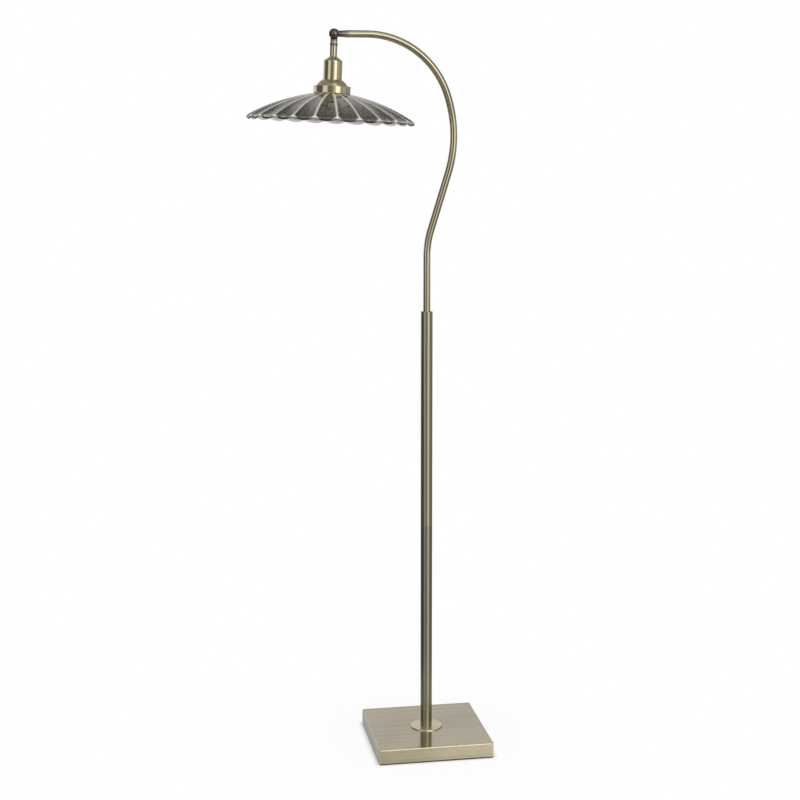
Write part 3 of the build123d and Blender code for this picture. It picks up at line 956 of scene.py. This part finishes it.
def make_glass_shade():
    gasket_inner_r, gasket_foot = turned("shade_gasket", head_place)[1:3]
    arc_rise = math.sqrt(shade_arc_r**2 - (gasket_inner_r + shade_arc_offset) ** 2)
    arc_z = gasket_foot - seat_play - arc_rise
    seat_angle = math.asin((seat_r + shade_arc_offset) / shade_arc_r)
    rim_angle = math.asin((shade_d / 2 + shade_arc_offset) / shade_arc_r)
    bearings = flute_bearings()

    def sink(angle):
        way_out = (math.sin(angle) - math.sin(seat_angle)) / (math.sin(rim_angle) - math.sin(seat_angle))
        return flute_depth * max(way_out, 0.0) ** flute_growth

    grid = []
    tints = []
    for angle, depth in glass_outline(seat_angle, rim_angle):
        outside = depth < glass_t / 2
        to_rim = (rim_angle - angle) * shade_arc_r
        panel_w = math.tau * (shade_arc_r * math.sin(angle) - shade_arc_offset) / flute_count
        row = []
        for bearing, share in bearings:
            radius = shade_arc_r - depth - sink(angle) * flute_shape(share)
            flat = radius * math.sin(angle) - shade_arc_offset
            height = radius * math.cos(angle) + arc_z
            row.append(Vector((flat * math.cos(bearing), flat * math.sin(bearing), height)))
            tints.append(glass_tint(outside, to_rim, panel_w, share))
        grid.append(row)
    # Flat seat round the hole, above and below
    for height, order in ((grid[0][0].z, 0), (grid[-1][0].z, len(grid) + 1)):
        row = []
        for bearing, _ in bearings:
            row.append(Vector((hole_r * math.cos(bearing), hole_r * math.sin(bearing), height)))
        grid.insert(order, row)
    seat = [(0.0, 0.0, 0.0, 0.0)] * len(bearings)
    along = [0.0] * (len(bearings) + 1)
    across = [0.0] * (len(grid) + 1)
    shade = grid_mesh("fluted_glass_shade", grid, along, across, head_place, glass_sharp_deg)
    # Masks of the painted highlights and painted shade in the glass's colour
    for index, name in enumerate(("edge", "flank", "rim", "low")):
        attribute = shade.data.attributes.new(name, "FLOAT", "POINT")
        attribute.data.foreach_set("value", [tint[index] for tint in seat + tints + seat])
    return dress(shade, "glass_shade", "head", shade_glass)


def make_shade_ring():
    outer, bore, foot, top = turned("shade_ring", head_place)
    foot_in, foot_up = ring_foot_bevel
    outline = rounded((
        (bore, foot, edge_r), (outer - foot_in, foot, ring_foot_r), (outer, foot + foot_up, edge_r),
        (outer, top - ring_top_bevel, edge_r), (outer - ring_top_bevel, top, edge_r), (bore, top, 0),
    ))

    def ribs(point, angle):
        reach = max(0.0, min(1.0, (point.x - outer + ring_rib_depth) / ring_rib_depth))
        return -ring_rib_h * reach * (0.5 - 0.5 * math.cos(ring_ribs * angle)) ** 2

    ring = lathe("brass_shade_ring", outline, head_place, ribs, ring_ribs * ring_rib_steps)
    return dress(ring, "shade_ring", "head", polished_brass)


def make_lampholder_sleeve():
    outer, bore, foot, top = turned("lampholder_sleeve", head_place)
    outline = rounded((
        (bore, foot, sleeve_edge_r), (outer, foot, sleeve_foot_r), (outer, top, sleeve_edge_r),
        (bore, top, 0),
    ))
    sleeve = lathe("brass_lampholder_sleeve", outline, head_place)
    return dress(sleeve, "lampholder_sleeve", "head", antique_brass)


def make_screw_shell():
    outer, bore, foot, top = turned("screw_shell", head_place)
    middle = (outer + bore) / 2
    half_wall = (outer - bore) / 4
    rows = math.ceil((top - foot) / thread_pitch * thread_steps)
    heights = [foot + (top - foot) * step / rows for step in range(rows + 1)]
    outline = [Vector((middle + half_wall, height)) for height in heights]
    outline += [Vector((middle - half_wall, height)) for height in reversed(heights)]

    def thread(point, angle):
        fade = min(1.0, (top - point.y) / thread_pitch, (point.y - foot) / thread_pitch)
        return thread_h / 2 * fade * math.sin(math.tau * point.y / thread_pitch + angle)

    shell = lathe("brass_screw_shell", outline, head_place, thread)
    return dress(shell, "screw_shell", "head", bright_brass)


make_base_cover()
make_base_pad()
make_grommet()
make_ring("brass_foot_flange", "foot_flange", "stand", flange_brass, flange_foot_r, flange_edge_r)
make_ring("brass_lower_tube", "lower_tube", "stand", lower_brass, tube_edge_r, tube_edge_r)
make_ring("brass_upper_tube", "upper_tube", "stand", antique_brass, tube_edge_r, tube_edge_r)
make_cap_bush()
make_swan_neck()
make_ring("bronze_stem_ring", "stem_ring", "head", dark_bronze, stem_ring_edge_r, stem_ring_edge_r)
make_ring("brass_stem_tube", "stem_tube", "head", stem_brass, edge_r, edge_r)
make_holder_cap()
make_shade_cap()
make_glass_shade()
make_shade_ring()
make_lampholder_sleeve()
make_screw_shell()

# Studio: brightness round the part by bearing, in degrees to the right of the side that faces the camera
ground_level = (
    (-180, 0.9), (-125, 0.9), (-95, 0.2), (95, 0.2), (125, 0.9), (180, 0.9),
)
floor_level = (
    (-180, 0.35), (-120, 0.35), (-100, 0.08), (-58, 0.08), (-46, 0.45), (-24, 0.45), (-14, 0.3), (12, 0.2),
    (20, 0.2), (25, 1.2), (50, 1.1), (62, 0.3), (110, 0.3), (140, 0.25), (180, 0.35),
)
below_level = (
    (-180, 0.2), (-150, 0.2), (-114, 0.2), (-102, 0.07), (-58, 0.07), (-48, 0.5), (-24, 0.5), (-18, 0.34),
    (12, 0.34), (19, 1.0), (49, 1.0), (58, 0.28), (126, 0.28), (136, 0.18), (180, 0.2),
)
eye_level = (
    (-180, 0.45), (-160, 0.4), (-148, 0.95), (-114, 0.95), (-102, 0.12), (-61, 0.12), (-52, 1.05),
    (-28, 1.05), (-21, 0.2), (21, 0.2), (30, 1.8), (52, 1.8), (61, 0.42), (84, 0.6), (106, 0.4),
    (126, 0.4), (140, 0.35), (180, 0.45),
)
shoulder_level = (
    (-180, 0.6), (-160, 0.5), (-140, 0.3), (-102, 0.15), (-61, 0.15), (-52, 0.9), (-28, 0.9), (-21, 0.25),
    (4, 0.3), (11, 3.0), (38, 3.0), (50, 0.6), (61, 0.4), (106, 0.35), (126, 0.3), (150, 0.35), (170, 0.6),
    (180, 0.6),
)
high_level = (
    (-180, 0.7), (-165, 0.7), (-156, 0.4), (-114, 0.4), (-102, 0.3), (-61, 0.3), (-52, 0.7), (-24, 0.7),
    (-18, 0.46), (11, 0.56), (20, 1.0), (44, 1.0), (58, 0.5), (100, 0.36), (166, 0.3), (175, 0.7),
    (180, 0.7),
)
above_level = (
    (-180, 0.26), (-150, 0.3), (-75, 0.34), (-52, 0.42), (-24, 0.45), (-10, 0.45), (8, 0.46), (26, 0.7),
    (48, 0.95), (62, 0.8), (76, 0.45), (102, 0.3), (114, 0.26), (180, 0.26),
)
zenith = 0.22
zenith_rise = (72.0, 84.0)
brightest = 3.0

# Levels from the ground up, each with the heights in degrees between which it takes over
studio_levels = (
    (floor_level, -36.0, -29.0),
    (below_level, -22.0, -17.0),
    (eye_level, -8.0, -4.0),
    (shoulder_level, 3.8, 6.8),
    (high_level, 16.0, 22.0),
    (above_level, 48.0, 53.0),
)

# Floor and overhead light
white = (1.0, 1.0, 1.0, 1.0)
floor_radius = 0.46
floor_segments = 96
floor_drop = 0.0002
floor_fade = 0.2
floor_colour = (0.93, 0.93, 0.93)
floor_white = 0.8
floor_in_metal = 0.25
contact_reach = 0.012
sky_light_watts = 72.0
sky_light_size = 2.4
sky_light_place = (-0.3, -0.5, 3.2)


def make_camera():
    data = bpy.data.cameras.new("camera")
    data.lens = sensor_mm * focal_px / image_px
    data.sensor_width = sensor_mm
    data.clip_end = camera_clip_end
    camera = bpy.data.objects.new("camera", data)
    bpy.context.scene.collection.objects.link(camera)
    camera.location = (
        -camera_distance * math.sin(camera_azimuth),
        -camera_distance * math.cos(camera_azimuth),
        camera_height,
    )
    ahead = Vector((
        math.sin(camera_yaw) * math.cos(camera_pitch),
        math.cos(camera_yaw) * math.cos(camera_pitch),
        -math.sin(camera_pitch),
    ))
    level = ahead.to_track_quat("-Z", "Y")
    camera.rotation_euler = (level @ Quaternion((0, 0, 1), camera_roll)).to_euler()
    bpy.context.scene.camera = camera


def make_world():
    """White backdrop for the eye and through glass, and soft boxes for reflections and light."""
    world = bpy.data.worlds.new("studio")
    world.use_nodes = True
    bpy.context.scene.world = world
    graph = Graph(world.node_tree)
    direction = graph.add("TexCoord").outputs["Generated"]
    to_camera = (-math.sin(camera_azimuth), -math.cos(camera_azimuth), 0.0)
    to_right = (math.cos(camera_azimuth), -math.sin(camera_azimuth), 0.0)
    near = graph.vector("DOT_PRODUCT", direction, to_camera).outputs["Value"]
    right = graph.vector("DOT_PRODUCT", direction, to_right).outputs["Value"]
    bearing = graph.range(graph.math("ARCTAN2", right, near), -math.pi, math.pi, 0.0, 1.0)
    rise = graph.math("ARCSINE", graph.add("SeparateXYZ", {0: direction}).outputs["Z"])

    def band(stops):
        scaled = [((degrees + 180) / 360, (value / brightest,) * 3) for degrees, value in stops]
        return graph.ramp(bearing, scaled)

    def blend(lower, upper, start, end):
        share = graph.range(rise, math.radians(start), math.radians(end), 0.0, 1.0)
        return graph.mix(share, lower, upper)

    light = band(ground_level)
    for level, start, end in studio_levels:
        light = blend(light, band(level), start, end)
    light = blend(light, (*[zenith / brightest] * 3, 1.0), *zenith_rise)
    studio = graph.add("Background", {"Color": light, "Strength": brightest})
    backdrop = graph.add("Background", {"Color": white, "Strength": 1.0})
    path = graph.add("LightPath").outputs
    seen = graph.math("MAXIMUM", path["Is Camera Ray"], path["Is Transmission Ray"])
    both = graph.add("MixShader", {0: seen, 1: studio.outputs[0], 2: backdrop.outputs[0]})
    graph.add("OutputWorld", {"Surface": both.outputs[0]})


def pale_floor():
    """Matt paper that fades out, white to the eye but for the contact shadow, and faint in metal."""
    pale = bpy.data.materials.new("pale_floor")
    pale.use_nodes = True
    graph = Graph(pale.node_tree)
    place = graph.add("TexCoord").outputs["Object"]
    distance = graph.vector("LENGTH", place, (0, 0, 0)).outputs["Value"]
    fade = graph.range(distance, floor_fade, floor_radius, 0.0, 1.0)
    path = graph.add("LightPath").outputs
    paper = graph.add("BsdfDiffuse", {"Color": (*floor_colour, 1.0)})
    glow = graph.add("Emission", {"Color": white, "Strength": 1.0})
    clear = graph.add("BsdfTransparent")
    across = graph.add("SeparateXYZ", {0: graph.vector("ABSOLUTE", place, (0, 0, 0)).outputs[0]}).outputs
    beyond = graph.math("SUBTRACT", graph.math("MAXIMUM", across["X"], across["Y"]), cad_high.x)
    open_floor = graph.range(beyond, 0.0, contact_reach, 0.0, floor_white)
    bleach = graph.math("MULTIPLY", path["Is Camera Ray"], open_floor)
    seen = graph.add("MixShader", {0: bleach, 1: paper.outputs[0], 2: glow.outputs[0]})
    thin = graph.math("MULTIPLY", path["Is Glossy Ray"], 1 - floor_in_metal)
    gone = graph.math("MAXIMUM", fade, thin)
    faded = graph.add("MixShader", {0: gone, 1: seen.outputs[0], 2: clear.outputs[0]})
    graph.add("OutputMaterial", {"Surface": faded.outputs[0]})
    return pale


def make_floor():
    """Pale disc under the lamp that fades out into the white backdrop."""
    work = bmesh.new()
    bmesh.ops.create_circle(work, cap_ends=True, segments=floor_segments, radius=floor_radius)
    mesh = bpy.data.meshes.new("floor")
    work.to_mesh(mesh)
    work.free()
    mesh.materials.append(pale_floor())
    floor = bpy.data.objects.new("floor", mesh)
    bpy.context.scene.collection.objects.link(floor)
    floor.location.z = -floor_drop


def make_sky_light():
    """Large soft light overhead for the floor and the matt pieces."""
    data = bpy.data.lights.new("sky_light", "AREA")
    data.shape = "DISK"
    data.size = sky_light_size
    data.energy = sky_light_watts
    light = bpy.data.objects.new("sky_light", data)
    light.location = sky_light_place
    light.visible_camera = False
    light.visible_glossy = False
    light.visible_transmission = False
    bpy.context.scene.collection.objects.link(light)


make_camera()
make_world()
make_floor()
make_sky_light()
bpy.context.scene.view_settings.view_transform = "Standard"
